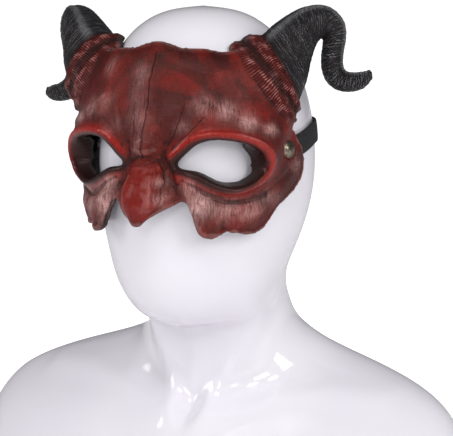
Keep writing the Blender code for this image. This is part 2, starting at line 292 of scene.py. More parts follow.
cutLine.links.new(eased(cutLine, sums(cutLine, "DIVIDE", gap, reach), 0.25, 1.0, 1.0, 0.0), outs["Mask"])

rubbedCrest, ins, outs = newGroup(
    "rubbedCrest",
    [("Vector", "NodeSocketVector", None), ("Crest", "NodeSocketFloat", 0.0),
     ("Scale", "NodeSocketFloat", 300.0)],
    [("Mask", "NodeSocketFloat")],
)
patches = noise(rubbedCrest, ins["Vector"], ins["Scale"], 4, 0.65)
rubbed = sums(rubbedCrest, "ADD", ins["Crest"], sums(rubbedCrest, "MULTIPLY_ADD", patches, 1.2, -0.75))
rubbedCrest.links.new(eased(rubbedCrest, rubbed, 0.15, 0.75), outs["Mask"])

fineSpecks, ins, outs = newGroup(
    "fineSpecks",
    [("Vector", "NodeSocketVector", None), ("Scale", "NodeSocketFloat", 500.0),
     ("Amount", "NodeSocketFloat", 0.5)],
    [("Mask", "NodeSocketFloat"), ("Grain", "NodeSocketFloat")],
)
cells = noise(fineSpecks, ins["Vector"], ins["Scale"], 2, 0.5)
limit = sums(fineSpecks, "MULTIPLY_ADD", ins["Amount"], -0.35, 0.75)
specks = eased(fineSpecks, cells, limit, sums(fineSpecks, "ADD", limit, 0.08))
fineSpecks.links.new(specks, outs["Mask"])
fineSpecks.links.new(cells, outs["Grain"])
print("shared effects built")


# The head under the mask, for the mask and the strap
headSet = {
    "rows": [  # z, front y, back y, half width, share of depth at the widest
        (134.5, -76, 57, 56, 0.56), (157.5, -92, 56, 57, 0.57), (173, -101, 55, 64, 0.58),
        (191.5, -105, 57, 71, 0.58), (211.5, -107, 64, 76, 0.57), (235, -107, 71, 79, 0.55),
        (261, -106, 73, 79, 0.53), (291.5, -103, 69, 75.5, 0.52), (320, -95, 57, 66.5, 0.5),
        (343, -78, 37, 50.5, 0.5), (356.2, -52, 10, 30, 0.5), (360, -24, -20, 5, 0.5),
    ],
    "perDegree": 1.45,  # millimetres along the head for a degree from the front
}
headRows = np.array(headSet["rows"])
perDegree = headSet["perDegree"]


# degrees from the front towards +X, height over the head, and which way is outwards
def headPlace(points):
    front, back, half, widest = [
        np.interp(points[:, 2], headRows[:, 0], headRows[:, k]) for k in range(1, 5)]
    middle = front + (back - front) * widest
    depth = np.where(points[:, 1] < middle, middle - front, back - middle)
    u, v = points[:, 0] / half, (middle - points[:, 1]) / depth
    reach = np.hypot(u, v)
    slope = np.hypot(u / half, v / depth) / np.maximum(reach, 1e-6)
    outwards = np.stack([u / half, -v / depth, np.zeros(len(u))], 1)
    outwards /= np.linalg.norm(outwards, axis=1)[:, None] + 1e-9
    return np.degrees(np.arctan2(u, v)), (reach - 1) / slope, outwards


# Mannequin bust: rounded from the CAD solid, then the neck and collarbones are worked in
bustSet = {
    # points (sideways, z), rise and reach in millimetres
    "neckMuscle": ([(13, 66), (24, 90), (38, 118), (52, 150), (60, 180)], 3.4, 8.0),
    "collarbone": ([(12, 57), (34, 64), (66, 73), (100, 77), (138, 74)], 3.0, 7.5),
    "windpipe": ([(0, 84), (0, 122)], 1.6, 9.0),
    # place (sideways, z), reach and rise in millimetres
    "hollows": [((0, 66), 10, -4.5), ((42, 84), 15, -4.5), ((76, 88), 16, -2.5), ((60, 50), 26, -1.5)],
    "crownRefill": 0.9,  # what the rounding took off the crown and the face
    "faceRefill": 0.35,
    "white": (0.78, 0.755, 0.81, 1),
    "paleWhite": (0.83, 0.81, 0.85, 1),
    "speck": (0.62, 0.6, 0.64, 1),
    "coat": 0.3,
    "coatRoughness": 0.03,
}
bust = copyOfNode("mannequin_bust", "mannequinBust")
# the rim of the foot is creased, so that the rounding leaves it even
footHeight = readPoints(bust.data)[:, 2]
footSides = {}
for face in bust.data.polygons:
    under = all(footHeight[corner] < 0.1 for corner in face.vertices)
    for key in face.edge_keys:
        footSides.setdefault(key, []).append(under)
crease = bust.data.attributes.new("crease_edge", "FLOAT", "EDGE")
for edge in bust.data.edges:
    crease.data[edge.index].value = float(sorted(footSides[edge.key]) == [False, True])
applyModifier(bust, "SUBSURF", levels=2, render_levels=2)
points, normals = readPoints(bust.data), readNormals(bust.data)
sideways, height = np.abs(points[:, 0]), points[:, 2]
facing = ease(0.15, -0.25, normals[:, 1]) * ease(30, 5, points[:, 1])
rise = np.zeros(len(points))
for part, fade in (("neckMuscle", ease(190, 150, height)), ("collarbone", 1), ("windpipe", 1)):
    path, amount, reach = bustSet[part]
    rise += amount * ridge(nearPath(sideways, height, path), reach) * fade
for (x, z), reach, amount in bustSet["hollows"]:
    rise += amount * ridge(np.hypot(sideways - x, height - z), reach)
rise *= facing * ease(20, 45, height)
rise += bustSet["crownRefill"] * ease(300, 350, height) + bustSet["faceRefill"] * ease(150, 200, height)
writePoints(bust.data, points + normals * rise[:, None])
applyModifier(bust, "SUBSURF", levels=1, render_levels=1)
bust.data.shade_smooth()

bustFinish, tree, shader = newMaterial("bustGloss")
place = put(tree, "ShaderNodeTexCoord").outputs["Object"]
cloud = noise(tree, place, 6, 2)
specks = useGroup(tree, fineSpecks, {"Vector": place, "Scale": 700.0, "Amount": 0.05})
colour = blend(tree, eased(tree, cloud, 0.35, 0.7), bustSet["white"], bustSet["paleWhite"])
colour = blend(tree, specks["Mask"], colour, bustSet["speck"])
tree.links.new(colour, shader.inputs["Base Color"])
tree.links.new(eased(tree, noise(tree, place, 30, 3), 0.3, 0.75, 0.07, 0.13), shader.inputs["Roughness"])
bumped(tree, shader, noise(tree, place, 160, 2), 0.12, 0.0005)
shader.inputs["IOR"].default_value = 1.5
shader.inputs["Coat Weight"].default_value = bustSet["coat"]
shader.inputs["Coat Roughness"].default_value = bustSet["coatRoughness"]
bust.data.materials.append(bustFinish)
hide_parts("mannequin_bust")
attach(bust, "root")
print("bust done:", len(bust.data.polygons), "faces")


# Mask: rounded from the CAD solid, remeshed fine, then the folds, horns and creases are worked in
maskSet = {
    "voxel": 0.0012,
    "refill": 0.3,  # what the smoothing took off, in millimetres
    "edgeRefill": 0.45,
    "noseRefill": 0.8,
    # opening of an eye, in degrees from the front and z
    "lip": [
        (12.5, 255), (15.5, 259), (19, 263.5), (22.5, 267.5), (26, 269.5), (29.5, 270.2), (33, 270),
        (37, 269.3), (41, 268), (45.5, 265), (48.8, 260.3), (50.3, 254.5), (49.8, 249.4), (47.6, 245),
        (44.8, 241), (41.5, 238.8), (37.5, 237.9), (34, 238.7), (30.5, 240.4), (27.3, 242.8),
        (24.2, 245.4), (21.5, 247.6), (19, 248.9), (16.8, 249.8), (15, 250.2), (13.7, 250.8),
        (12.9, 251.8), (12.5, 253.3), (12.5, 255),
    ],
    # folds on both sides: points (degrees, z), rise and reach in millimetres
    "folds": [
        ([(9.2, 268), (8.2, 261), (9.5, 256), (11.5, 250), (12.5, 243)], -1.3, 1.7),
        ([(-9, 251), (-7, 256), (-3.5, 258.5), (0, 259), (3.5, 258.5), (7, 256), (9, 251)], -1.3, 1.5),
        ([(-5, 264.5), (0, 263), (5, 264.5)], 1.0, 3.0),
        ([(9.2, 267), (8.5, 261)], 1.2, 2.2),
        ([(0, 251), (0, 238)], 1.6, 8.0),
        ([(9.5, 268), (12.5, 279), (16, 290)], -0.5, 2.2),
        ([(13, 267), (18, 275), (25, 284)], -0.5, 2.4),
        ([(27, 299), (35, 291), (45, 283), (57, 276)], 1.3, 3.4),
        ([(-30, 318), (-22, 300), (-16, 284)], 0.7, 4.0),
        ([(17, 244), (23, 239), (29, 231), (36, 228), (45, 228), (53, 231)], -1.0, 2.0),
        ([(17, 237), (21, 229), (25, 221), (26, 213)], 0.9, 2.4),
        ([(31, 224), (35, 216), (36, 209)], -0.9, 2.0),
        ([(44, 223), (43, 215), (40, 208)], 0.8, 2.6),
        ([(54, 233), (60, 240), (66, 247)], -0.9, 2.6),
        ([(4.5, 246), (5.5, 236), (5, 224)], 0.7, 1.6),
    ],
    "noseTipHeights": (229, 212),  # the nose is drawn in to a point between these
    "noseTipDepth": -128,
    "noseTipPinch": 0.42,  # share of the way in
    "noseTipDrop": 0.6,
    "seatRadius": 7.0,  # the flat round a rivet
    "seatDepth": 0.5,
    "rivetAt": (65.6, 261),
    # horns as in the CAD: centre, tilt of the long radius, long and short radius
    "sections": [
        (50, -50, 299, 133, 34, 21), (56.6, -56.5, 303.8, 133, 36, 22),
        (60.5, -56, 307, 131, 36.8, 24.5), (63.4, -55.4, 309.4, 129, 35.5, 25.2),
        (65, -54.8, 311, 127, 31.8, 22.8), (67, -54.4, 312.6, 126, 33, 25.6),
        (70, -53.8, 315.2, 124, 32, 26.2), (72, -53.4, 316.8, 122.5, 29.5, 24.8),
        (73.4, -53.1, 317.9, 121.6, 27, 22.6), (76.5, -52.2, 323, 121, 24.6, 21),
        (80.5, -50.7, 329.8, 120, 22, 19.6), (86, -46.8, 340.2, 116, 17, 16.4),
        (91.4, -41.8, 347.2, 108, 13.4, 13.4), (98.5, -35, 349.6, 80, 11, 11.4),
        (104, -30.8, 344.4, 30, 9, 9.8), (104.6, -29.8, 336, 10, 8.3, 9),
        (103.2, -29.5, 326, 7, 8, 8.3), (102.7, -28.3, 316.5, 17, 7.9, 8),
        (104.5, -26.9, 308.8, 40, 7.8, 7.8), (109.5, -26.1, 303.6, 66, 7.4, 7.4),
        (117, -25.6, 301.6, 86, 6.8, 6.8), (124.5, -25.1, 302, 96, 5.8, 5.8),
        (129.5, -25, 304, 102, 3.6, 3.6), (132, -25, 305, 104, 2.4, 2.4),
    ],
    "view": (24.5, 9),  # the long radii lie square to this view
    "sagFrom": 14,  # the soft ends sag from this section on, by so much at each side
    "sag": {1: 8.5, -1: -9.5},
    "blackFrom": 8.1,  # the section where the black horn leaves its red collar
    "ringRise": 0.12,
    "spineRise": 1.5,
    "spineReach": 1.4,
    "spineAt": 0.7,
    "creaseDepths": {4.1: 2.0, 8.0: 1.2},  # section and depth
    # where silver is rubbed on: degrees, z, reach in millimetres, amount, 1 for one side only
    "silverSpots": [
        (-5, 300, 8, 0.2, 1), (-3, 285, 9, 0.28, 1), (-6, 314, 7, 0.35, 1), (-2, 270, 5, 0.3, 1),
        (23, 222, 8, 0.85, 0), (27, 231, 6, 0.9, 0), (36, 223, 7, 0.75, 0), (46, 223, 7, 0.7, 0),
        (56, 230, 6, 0.35, 0), (20, 240, 5, 0.7, 0), (9, 231, 4, 0.7, 1), (8, 243, 3.5, 0.5, 1),
        (36, 290, 6, 0.6, 0), (45, 283, 5, 0.8, 0), (26, 294, 7, 0.35, 0), (54, 277, 4, 0.7, 0),
        (70, 250, 5, 0.3, 0), (-28, 318, 6, 0.35, 1), (-20, 235, 8, 0.5, 1), (17, 280, 5, 0.25, 0),
    ],
    # where the dark wash and painted shade gather, on both sides: degrees, z, reach in millimetres, amount
    "washAndShadeSpots": [(7.5, 261, 4.0, 0.45), (12.5, 246, 4.5, 0.5), (15.5, 236, 5, 0.35), (30, 228, 5, 0.15)],
    "red": (0.150, 0.009, 0.006, 1),
    "deepRed": (0.058, 0.005, 0.004, 1),
    "brightRed": (0.32, 0.013, 0.008, 1),
    # dark wash colour, also used for painted shade in the hollows, creases and eye walls
    "washAndShade": (0.007, 0.0045, 0.004, 1),
    "brown": (0.040, 0.018, 0.015, 1),
    "silver": (0.62, 0.36, 0.335, 1),
    "hornBlack": (0.007, 0.011, 0.0125, 1),
    # grey of the rings, also used for the painted highlight along the horn spines
    "hornGrey": (0.125, 0.128, 0.134, 1),
    "inside": (0.030, 0.026, 0.025, 1),
    "glint": (1.0, 0.58, 0.54, 1),
    "collarStrokes": 112,  # strokes round a collar
    "ringPitch": 1.9,  # millimetres between the rings of the horns
    # cut lines in the paint, in degrees from the front and z, with their width in millimetres
    "cracks": [
        ((1.2, 330), (0.4, 312), 0.6), ((0.4, 312), (0.9, 292), 0.65), ((0.9, 292), (-0.4, 274), 0.7),
        ((-0.4, 274), (0, 258), 0.9), ((-6.5, 296), (-5.5, 284), 0.35), ((-5.5, 284), (-4.8, 264), 0.6),
        ((10.5, 266), (15, 280), 0.5), ((15, 280), (18, 296), 0.4), ((12, 264), (20, 276), 0.45),
        ((20, 276), (27, 287), 0.35), ((8.2, 252), (9.2, 240), 0.4), ((9.2, 240), (8.4, 228), 0.3),
    ],
}
turn, lift = [math.radians(v) for v in maskSet["view"]]
ringRight = np.array([math.cos(turn), math.sin(turn), 0])
ringUp = np.array([-math.sin(turn) * math.sin(lift), math.cos(turn) * math.sin(lift), math.cos(lift)])
ringBack = np.cross(ringRight, ringUp)


# smooth curve through the sections, with that many steps from one to the next
def fineSections(sections, steps):
    ends = np.vstack([2 * sections[0] - sections[1], sections, 2 * sections[-1] - sections[-2]])
    rows = []
    for i in range(1, len(ends) - 2):
        a, b, c, d = ends[i - 1:i + 3]
        for t in np.arange(steps) / steps:
            curved = (2 * a - 5 * b + 4 * c - d) * t * t + (3 * b - a - 3 * c + d) * t ** 3
            rows.append(0.5 * (2 * b + (c - a) * t + curved))
    return np.array(rows + [sections[-1]])


# section number, millimetres along, shares of the radii, the move onto the round section, and the gap
def hornPlace(points, side):
    mirrored = points * np.array([side, 1, 1])
    sections = np.array(maskSet["sections"], float)
    last = len(sections) - 2
    bend = np.clip((np.arange(len(sections)) - maskSet["sagFrom"]) / (last - maskSet["sagFrom"]), 0, 1)
    sections[:, 2] += maskSet["sag"][side] * bend ** 1.2
    fine = fineSections(sections, 12)
    fineSteps = np.arange(len(fine)) / 12
    walked = np.concatenate([[0], np.cumsum(np.linalg.norm(np.diff(fine[:, :3], axis=0), axis=1))])
    best = np.full(len(points), 1e9)
    found = np.zeros((len(points), 7))
    for mm, row in zip(walked, fine):
        lean = math.radians(row[3])
        longWay = ringRight * math.cos(lean) + ringUp * math.sin(lean)
        off = mirrored - row[:3]
        a, b = off @ longWay / row[4], off @ ringBack / row[5]
        short = 1 / np.maximum(np.hypot(a, b), 0.2) - 1
        outside = np.maximum(np.hypot(a, b) - 1, 0) * min(row[4], row[5])
        flat = off @ np.cross(ringBack, longWay)
        cost = np.hypot(outside, flat)
        closer = cost < best
        best[closer] = cost[closer]
        exact = np.clip(mm + flat[closer], 0, walked[-1])
        across = np.outer(a * row[4] * short, longWay) + np.outer(b * row[5] * short, ringBack)
        found[closer] = np.column_stack([
            np.interp(exact, walked, fineSteps), exact, a[closer], b[closer], across[closer] * [side, 1, 1]])
    return found, best


mask = copyOfNode("mask", "foamMask")
applyModifier(mask, "REMESH", mode="VOXEL", voxel_size=maskSet["voxel"], adaptivity=0)
# crumbs left by the remesher are deleted: all that isn't joined to the highest point of the horns
for corner in mask.data.vertices:
    corner.select = False
highest = int(np.argmax(readPoints(mask.data)[:, 2]))
mask.data.vertices[highest].select = True
selectOnly(mask)
bpy.ops.object.mode_set(mode="EDIT")
bpy.ops.mesh.select_mode(type="VERT")
bpy.ops.mesh.select_linked()
bpy.ops.mesh.select_all(action="INVERT")
bpy.ops.mesh.delete(type="VERT")
bpy.ops.object.mode_set(mode="OBJECT")
edges = readEdges(mask.data)
points = relax(readPoints(mask.data), edges, [0.5] * 10 + [0.5, -0.53] * 10)
writePoints(mask.data, points)
normals = readNormals(mask.data)
edgeBulge = ((points - soften(points, edges, 12)) * normals).sum(1)
points += normals * (maskSet["refill"] + maskSet["edgeRefill"] * ease(0.10, 0.55, edgeBulge))[:, None]
writePoints(mask.data, points)
print("mask remeshed:", len(mask.data.polygons), "faces")

# the face laid flat, and how far each point is from the opening of its eye
degrees, over, outwards = headPlace(points)
faceX, faceZ = degrees * perDegree, points[:, 2].copy()
bothX = np.abs(faceX)
lipPath = [(d * perDegree, z) for d, z in maskSet["lip"]]
lipGap = nearPath(bothX, faceZ, lipPath)
insideEye = np.zeros(len(points), bool)
for (ax, az), (bx, bz) in zip(lipPath[:-1], lipPath[1:]):
    crossing = (az > faceZ) != (bz > faceZ)
    at = (bx - ax) * (faceZ - az) / (bz - az + 1e-9) + ax
    insideEye ^= crossing & (bothX < at)
signedGap = np.where(insideEye, -lipGap, lipGap)

# the thin inner edge round each eye and the broad faces of the shell are smoothed once more
thinEdge = ease(3.0, 0.0, signedGap) * ease(9.0, 5.0, over)
points += (soften(points, edges, 24) - points) * thinEdge[:, None]
broad = soften(points, edges, 60)
change = np.linalg.norm(broad - points, axis=1)
onNose = ease(13, 8, bothX) * ease(212, 222, faceZ) * ease(256, 250, faceZ)
share = np.maximum(ease(1.6, 0.5, change) * ease(6, 9, signedGap), 0.9 * onNose)
refill = maskSet["noseRefill"] * onNose
points += (broad - points) * share[:, None] + readNormals(mask.data) * refill[:, None]

# the end of the nose is drawn in to a point
pinch = ease(9, 16, over) * ease(24, 16, bothX) * ease(*maskSet["noseTipHeights"], points[:, 2])
points[:, 0] *= 1 - maskSet["noseTipPinch"] * pinch
points[:, 1] += maskSet["noseTipPinch"] * pinch * (maskSet["noseTipDepth"] - points[:, 1])
points[:, 2] -= maskSet["noseTipDrop"] * pinch
writePoints(mask.data, points)

normals = readNormals(mask.data)
side = np.where(points[:, 0] >= 0, 1, -1)
outerFace = ease(-0.1, 0.35, (normals * outwards).sum(1)) * ease(3.5, 6.0, over)

# horns are moved onto their round sections
horn = np.zeros((len(points), 7))
hornGap = np.full(len(points), 1e9)
for way in (1, -1):
    found, gapHere = hornPlace(points, way)
    mine = side == way
    horn[mine], hornGap[mine] = found[mine], gapHere[mine]
section, mmAlong = horn[:, 0], horn[:, 1]
onHorn = ease(2.6, 1.2, hornGap) * ease(0.4, 1.6, section) * ease(4, 10, over)
black = onHorn * ease(maskSet["blackFrom"] - 0.25, maskSet["blackFrom"] + 0.25, section)
collar = onHorn * (1 - black)
points += horn[:, 4:7] * (black * ease(22.6, 22.0, section) * ease(8.2, 9.5, section))[:, None]
writePoints(mask.data, points)
normals = readNormals(mask.data)

# folds of the face, then rings, spine and creases of the horns, then the rivets' seats
lift = np.zeros(len(points))
for path, rise, reach in maskSet["folds"]:
    lift += rise * ridge(nearPath(bothX, faceZ, [(d * perDegree, z) for d, z in path]), reach)
lift *= outerFace * (1 - onHorn)
ringWave = np.sin(mmAlong * 1.9 + 0.9 * np.sin(mmAlong * 0.37) + 0.5 * horn[:, 2])
lift += black * maskSet["ringRise"] * ringWave * ease(8.2, 9.5, section)
spineAngle = np.arctan2(horn[:, 3], horn[:, 2])
spineGap = np.abs((spineAngle - maskSet["spineAt"] + np.pi) % (2 * np.pi) - np.pi) * 9
lift += black * maskSet["spineRise"] * ridge(spineGap, maskSet["spineReach"])
for crease, depth in maskSet["creaseDepths"].items():
    lift -= onHorn * depth * ridge(section - crease, 0.75)
seatAt, seatRadius = maskSet["rivetAt"], maskSet["seatRadius"]
seatGap = np.hypot((np.abs(degrees) - seatAt[0]) * perDegree, points[:, 2] - seatAt[1])
lift -= outerFace * maskSet["seatDepth"] * ease(seatRadius + 0.8, seatRadius - 0.6, seatGap)
points = points + normals * lift[:, None]
writePoints(mask.data, points)
mask.data.shade_smooth()

# Where each paint and the painted shade go, kept on the mesh for the material
near = soften(points, edges, 10)
wide = soften(near, edges, 50)
bulge = ((points - near) * normals).sum(1)
swell = ((near - wide) * normals).sum(1)
silver = np.zeros(len(points))
for spotDegrees, spotZ, reach, amount, oneSide in maskSet["silverSpots"]:
    across = faceX if spotDegrees < 0 or oneSide else bothX
    silver += amount * ridge(np.hypot(across - spotDegrees * perDegree, faceZ - spotZ), reach)
gathered = np.zeros(len(points))
for spotDegrees, spotZ, reach, amount in maskSet["washAndShadeSpots"]:
    gathered += amount * ridge(np.hypot(bothX - spotDegrees * perDegree, faceZ - spotZ), reach)
# painted shade in the crease between the collar bands and at the root of the black horn
collarCreaseShade, hornRootShade = ridge(section - 4.1, 0.95), ridge(section - 8.0, 0.5)
# the hollows and the listed spots get a dark wash and painted shade
hollow = ease(0.02, 0.30, -bulge) * 0.7 + ease(0.2, 1.6, -swell) * 0.6 + gathered * outerFace
raised = ease(0.02, 0.30, bulge) * 0.6 + ease(0.3, 1.8, swell) * 0.5
rimBand = ridge(signedGap - 4.2, 4.2) * ease(12, 20, bothX) * (1 - 0.35 * ease(247, 240, faceZ))
brightNose = 0.42 * onNose * outerFace * ease(211, 221, faceZ)
keepValue(mask.data, "cavity", hollow + onHorn * (1.5 * collarCreaseShade + 0.8 * hornRootShade))
keepValue(mask.data, "crest", raised)
keepValue(mask.data, "rimBand", np.maximum(rimBand * (signedGap > -2), brightNose))
# painted shade on the inner wall of each eye opening
keepValue(mask.data, "eyeWallShade", ease(5.4, 1.4, signedGap) * (1 - onHorn))
keepValue(mask.data, "silver", silver)
keepValue(mask.data, "hornBlack", black)
keepValue(mask.data, "collarBand", collar)
# painted shade along the crease between the collar bands
keepValue(mask.data, "collarCreaseShade", onHorn * ridge(section - 4.3, 0.42))
# a painted highlight along the spine of each black horn
keepValue(mask.data, "hornSpineHighlight", black * ridge(spineGap - 0.3, 1.1))
keepValue(mask.data, "outerFace", np.maximum(outerFace, onHorn))
keepVector(mask.data, "facePlace", np.stack([faceX, faceZ, np.zeros(len(points))], 1))
roundHorn = np.maximum(np.hypot(horn[:, 2], horn[:, 3]), 0.3)
roundX, roundY = horn[:, 2] * 12 / roundHorn, horn[:, 3] * 12 / roundHorn
keepVector(mask.data, "hornWay", np.stack([mmAlong, roundX, roundY], 1))

foam, tree, shader = newMaterial("paintedFoam")
place = put(tree, "ShaderNodeTexCoord").outputs["Object"]
faceWay = attribute(tree, "facePlace", "Vector")
hornWay = attribute(tree, "hornWay", "Vector")
cavity, crest = attribute(tree, "cavity"), attribute(tree, "crest")
rim, eyeWallShade = attribute(tree, "rimBand"), attribute(tree, "eyeWallShade")
blackShare, collarShare = attribute(tree, "hornBlack"), attribute(tree, "collarBand")
outer = attribute(tree, "outerFace")

# cut lines, wobbled so that they look carved by hand
wobble = put(tree, "ShaderNodeTexNoise", {"Vector": faceWay, "Scale": 0.16, "Detail": 3.0}).outputs["Color"]
wobble = vectors(tree, "SUBTRACT", wobble, (0.5, 0.5, 0.5))
wobble = stretched(tree, wobble, (4.0, 2.0, 0.0))
carvedWay = vectors(tree, "ADD", faceWay, wobble)
cracks = None
for (startDegrees, startZ), (endDegrees, endZ), width in maskSet["cracks"]:
    line = useGroup(tree, cutLine, {
        "Place": carvedWay,
        "Start": (startDegrees * perDegree, startZ, 0),
        "End": (endDegrees * perDegree, endZ, 0),
        "Width": width,
    })["Mask"]
    cracks = line if cracks is None else sums(tree, "MAXIMUM", cracks, line)
offHorns = sums(tree, "SUBTRACT", outer, sums(tree, "ADD", blackShare, collarShare))
cracks = times(tree, cracks, offHorns)
# the painted shade of the collar crease is darkened together with the cut lines
cracks = sums(tree, "MAXIMUM", cracks, attribute(tree, "collarCreaseShade"))

# fine tool marks: up and down the forehead and nose, square to the bands on the collars, round the horns
faceHatch = noise(tree, stretched(tree, carvedWay, (1.0, 0.10, 1.0)), 1.15, 4, 0.6, 0.4)
crossHatch = noise(tree, stretched(tree, carvedWay, (0.22, 1.0, 1.0)), 0.9, 3, 0.6, 0.6)
hornParts = put(tree, "ShaderNodeSeparateXYZ", {0: hornWay}).outputs
hornAngle = sums(tree, "ARCTAN2", hornParts["Z"], hornParts["Y"])
strayed = noise(tree, stretched(tree, hornWay, (0.25, 0.5, 0.5)), 0.5, 3, 0.6)
strokes, rings = float(maskSet["collarStrokes"]), 2 * math.pi / maskSet["ringPitch"]
collarPhase = sums(tree, "MULTIPLY_ADD", hornAngle, strokes, times(tree, strayed, 9.0))
ringPhase = sums(tree, "MULTIPLY_ADD", hornParts["X"], rings, times(tree, strayed, 10.0))
brokenUp = noise(tree, stretched(tree, hornWay, (0.30, 0.6, 0.6)), 0.8, 2, 0.5)
longStrokes = noise(tree, stretched(tree, hornWay, (1.0, 0.09, 0.09)), 1.2, 3, 0.6, 0.5)
collarHatch = sums(tree, "MULTIPLY_ADD", sums(tree, "SINE", collarPhase), 0.17, brokenUp)
hornRings = sums(tree, "MULTIPLY_ADD", sums(tree, "SINE", ringPhase), 0.11, longStrokes)
foamGrain = useGroup(tree, fineSpecks, {"Vector": place, "Scale": 900.0, "Amount": 0.15})

# red paint over brown, with a dark wash and painted shade in the hollows and silver rubbed on the high
# places
patches = eased(tree, noise(tree, place, 26, 4, 0.6, 0.4), 0.40, 0.64)
deep = eased(tree, noise(tree, stretched(tree, place, (1, 1, 0.5)), 48, 4, 0.6, 0.5), 0.40, 0.60)
colour = blend(tree, times(tree, patches, 0.85), maskSet["red"], maskSet["brown"])
colour = blend(tree, times(tree, deep, 0.7), colour, maskSet["deepRed"])
dirt = eased(tree, noise(tree, place, 21, 5, 0.65, 0.6), 0.50, 0.66, 0.0, 0.6)
colour = blend(tree, dirt, colour, maskSet["washAndShade"])
colour = blend(tree, times(tree, rim, 0.9), colour, maskSet["brightRed"])
dusty = times(tree, attribute(tree, "silver"), eased(tree, faceHatch, 0.38, 0.62, 0.45, 1.0))
dusty = times(tree, dusty, eased(tree, noise(tree, place, 70, 4, 0.6), 0.35, 0.60, 0.5, 1.0))
colour = blend(tree, clamped(tree, dusty), colour, maskSet["silver"])
rubbed = useGroup(tree, rubbedCrest, {"Vector": place, "Crest": crest, "Scale": 160.0})["Mask"]
rubbed = times(tree, rubbed, sums(tree, "MULTIPLY_ADD", rim, -0.15, 0.16))
colour = blend(tree, rubbed, colour, maskSet["silver"])
colour = blend(tree, eased(tree, faceHatch, 0.46, 0.30, 0.0, 0.6), colour, maskSet["washAndShade"])
offRim = sums(tree, "SUBTRACT", 1.0, rim)
creases = times(tree, eased(tree, crossHatch, 0.45, 0.32, 0.0, 0.4), offRim)
colour = blend(tree, creases, colour, maskSet["washAndShade"])

collarDark = eased(tree, collarHatch, 0.50, 0.34)
collarLight = eased(tree, collarHatch, 0.60, 0.80, 0.0, 0.42)
collarDark = sums(tree, "MULTIPLY_ADD", collarDark, 0.58, 0.30)
collarColour = blend(tree, collarDark, maskSet["red"], maskSet["washAndShade"])
collarColour = blend(tree, collarLight, collarColour, maskSet["silver"])
colour = blend(tree, collarShare, colour, collarColour)

# rings lighter on their crests, and a painted highlight along the spine of each horn
ringLight = eased(tree, hornRings, 0.50, 0.70)
ringsAndSpineHighlight = times(tree, ringLight, eased(tree, crest, 0.0, 0.6, 0.35, 1.0))
spineHighlight = eased(tree, longStrokes, 0.35, 0.6, 0.35, 0.9)
ringsAndSpineHighlight = sums(tree, "MULTIPLY_ADD", attribute(tree, "hornSpineHighlight"), spineHighlight, ringsAndSpineHighlight)
hornColour = blend(tree, clamped(tree, ringsAndSpineHighlight), maskSet["hornBlack"], maskSet["hornGrey"])
colour = blend(tree, blackShare, colour, hornColour)

# a dark wash and painted shade darken the hollows and creases
unevenly = eased(tree, noise(tree, place, 120, 3), 0.3, 0.6, 0.65, 1.0)
washedAndShaded = times(tree, eased(tree, cavity, 0.12, 0.75), unevenly)
colour = blend(tree, times(tree, washedAndShaded, 0.72), colour, maskSet["washAndShade"])
colour = blend(tree, times(tree, cracks, 0.8), colour, maskSet["washAndShade"])
# painted shade on the inner wall of each eye opening
colour = blend(tree, times(tree, eyeWallShade, 0.93), colour, maskSet["washAndShade"])
innerFace = sums(tree, "SUBTRACT", 1.0, outer)
colour = blend(tree, innerFace, colour, maskSet["inside"])
colour = blend(tree, times(tree, foamGrain["Mask"], 0.35), colour, maskSet["washAndShade"])
tree.links.new(colour, shader.inputs["Base Color"])

rough = eased(tree, noise(tree, place, 60, 4), 0.3, 0.7, 0.30, 0.44)
rough = sums(tree, "MULTIPLY_ADD", rim, -0.14, rough)
rough = sums(tree, "MULTIPLY_ADD", washedAndShaded, 0.18, rough)
rough = sums(tree, "MULTIPLY_ADD", blackShare, 0.06, rough)
rough = sums(tree, "MULTIPLY_ADD", innerFace, 0.35, rough)
tree.links.new(rough, shader.inputs["Roughness"])

faceLift = sums(tree, "MULTIPLY_ADD", faceHatch, 0.55, times(tree, crossHatch, 0.45))
faceLift = times(tree, faceLift, sums(tree, "MULTIPLY_ADD", rim, -0.75, 1.0))
hornLift = times(tree, hornRings, 2.0)
collarLift = times(tree, collarHatch, 1.5)
lifted = blendValues(tree, collarShare, faceLift, collarLift)
lifted = blendValues(tree, blackShare, lifted, hornLift)
lifted = sums(tree, "MULTIPLY_ADD", cracks, -0.8, lifted)
lifted = sums(tree, "MULTIPLY_ADD", foamGrain["Grain"], 0.10, lifted)
bumped(tree, shader, lifted, 0.85, 0.001)
shader.inputs["Specular IOR Level"].default_value = 0.25
shader.inputs["Specular Tint"].default_value = maskSet["glint"]
tree.links.new(sums(tree, "MULTIPLY_ADD", rim, 0.22, 0.03), shader.inputs["Coat Weight"])
shader.inputs["Coat Roughness"].default_value = 0.14
mask.data.materials.append(foam)
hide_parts("mask")
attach(mask, "root")
print("mask done")


# Elastic strap: rounded from the CAD solid, woven in the material
strapSet = {
    "at": (65.6, 261),
    "rise": 8.0,  # how much higher it runs at the back of the head
    "climbFrom": 4,  # degrees behind the rivet where it starts to rise, and over how many
    "climbOver": 34,
    "perDegree": 1.32,  # millimetres of band for a degree round the head
    "rib": 1.05,  # millimetres between the ribs, and between the threads
    "thread": 0.75,
    "black": (0.007, 0.007, 0.008, 1),
    "greyThread": (0.024, 0.024, 0.026, 1),
    "fuzz": (0.08, 0.08, 0.082, 1),
}
strap = copyOfNode("elastic_strap", "elasticStrap")
applyModifier(strap, "SUBSURF", levels=2, render_levels=2)
points = readPoints(strap.data)
degrees = headPlace(points)[0]
behindRivet = np.abs(degrees) - strapSet["at"][0] - strapSet["climbFrom"]
climb = np.clip(behindRivet / strapSet["climbOver"], 0, 1)
middleZ = strapSet["at"][1] + strapSet["rise"] * climb ** 2 * (3 - 2 * climb)
bandPlace = np.stack([degrees * strapSet["perDegree"], points[:, 2] - middleZ, np.zeros(len(points))], 1)
keepVector(strap.data, "bandPlace", bandPlace)
strap.data.shade_smooth()

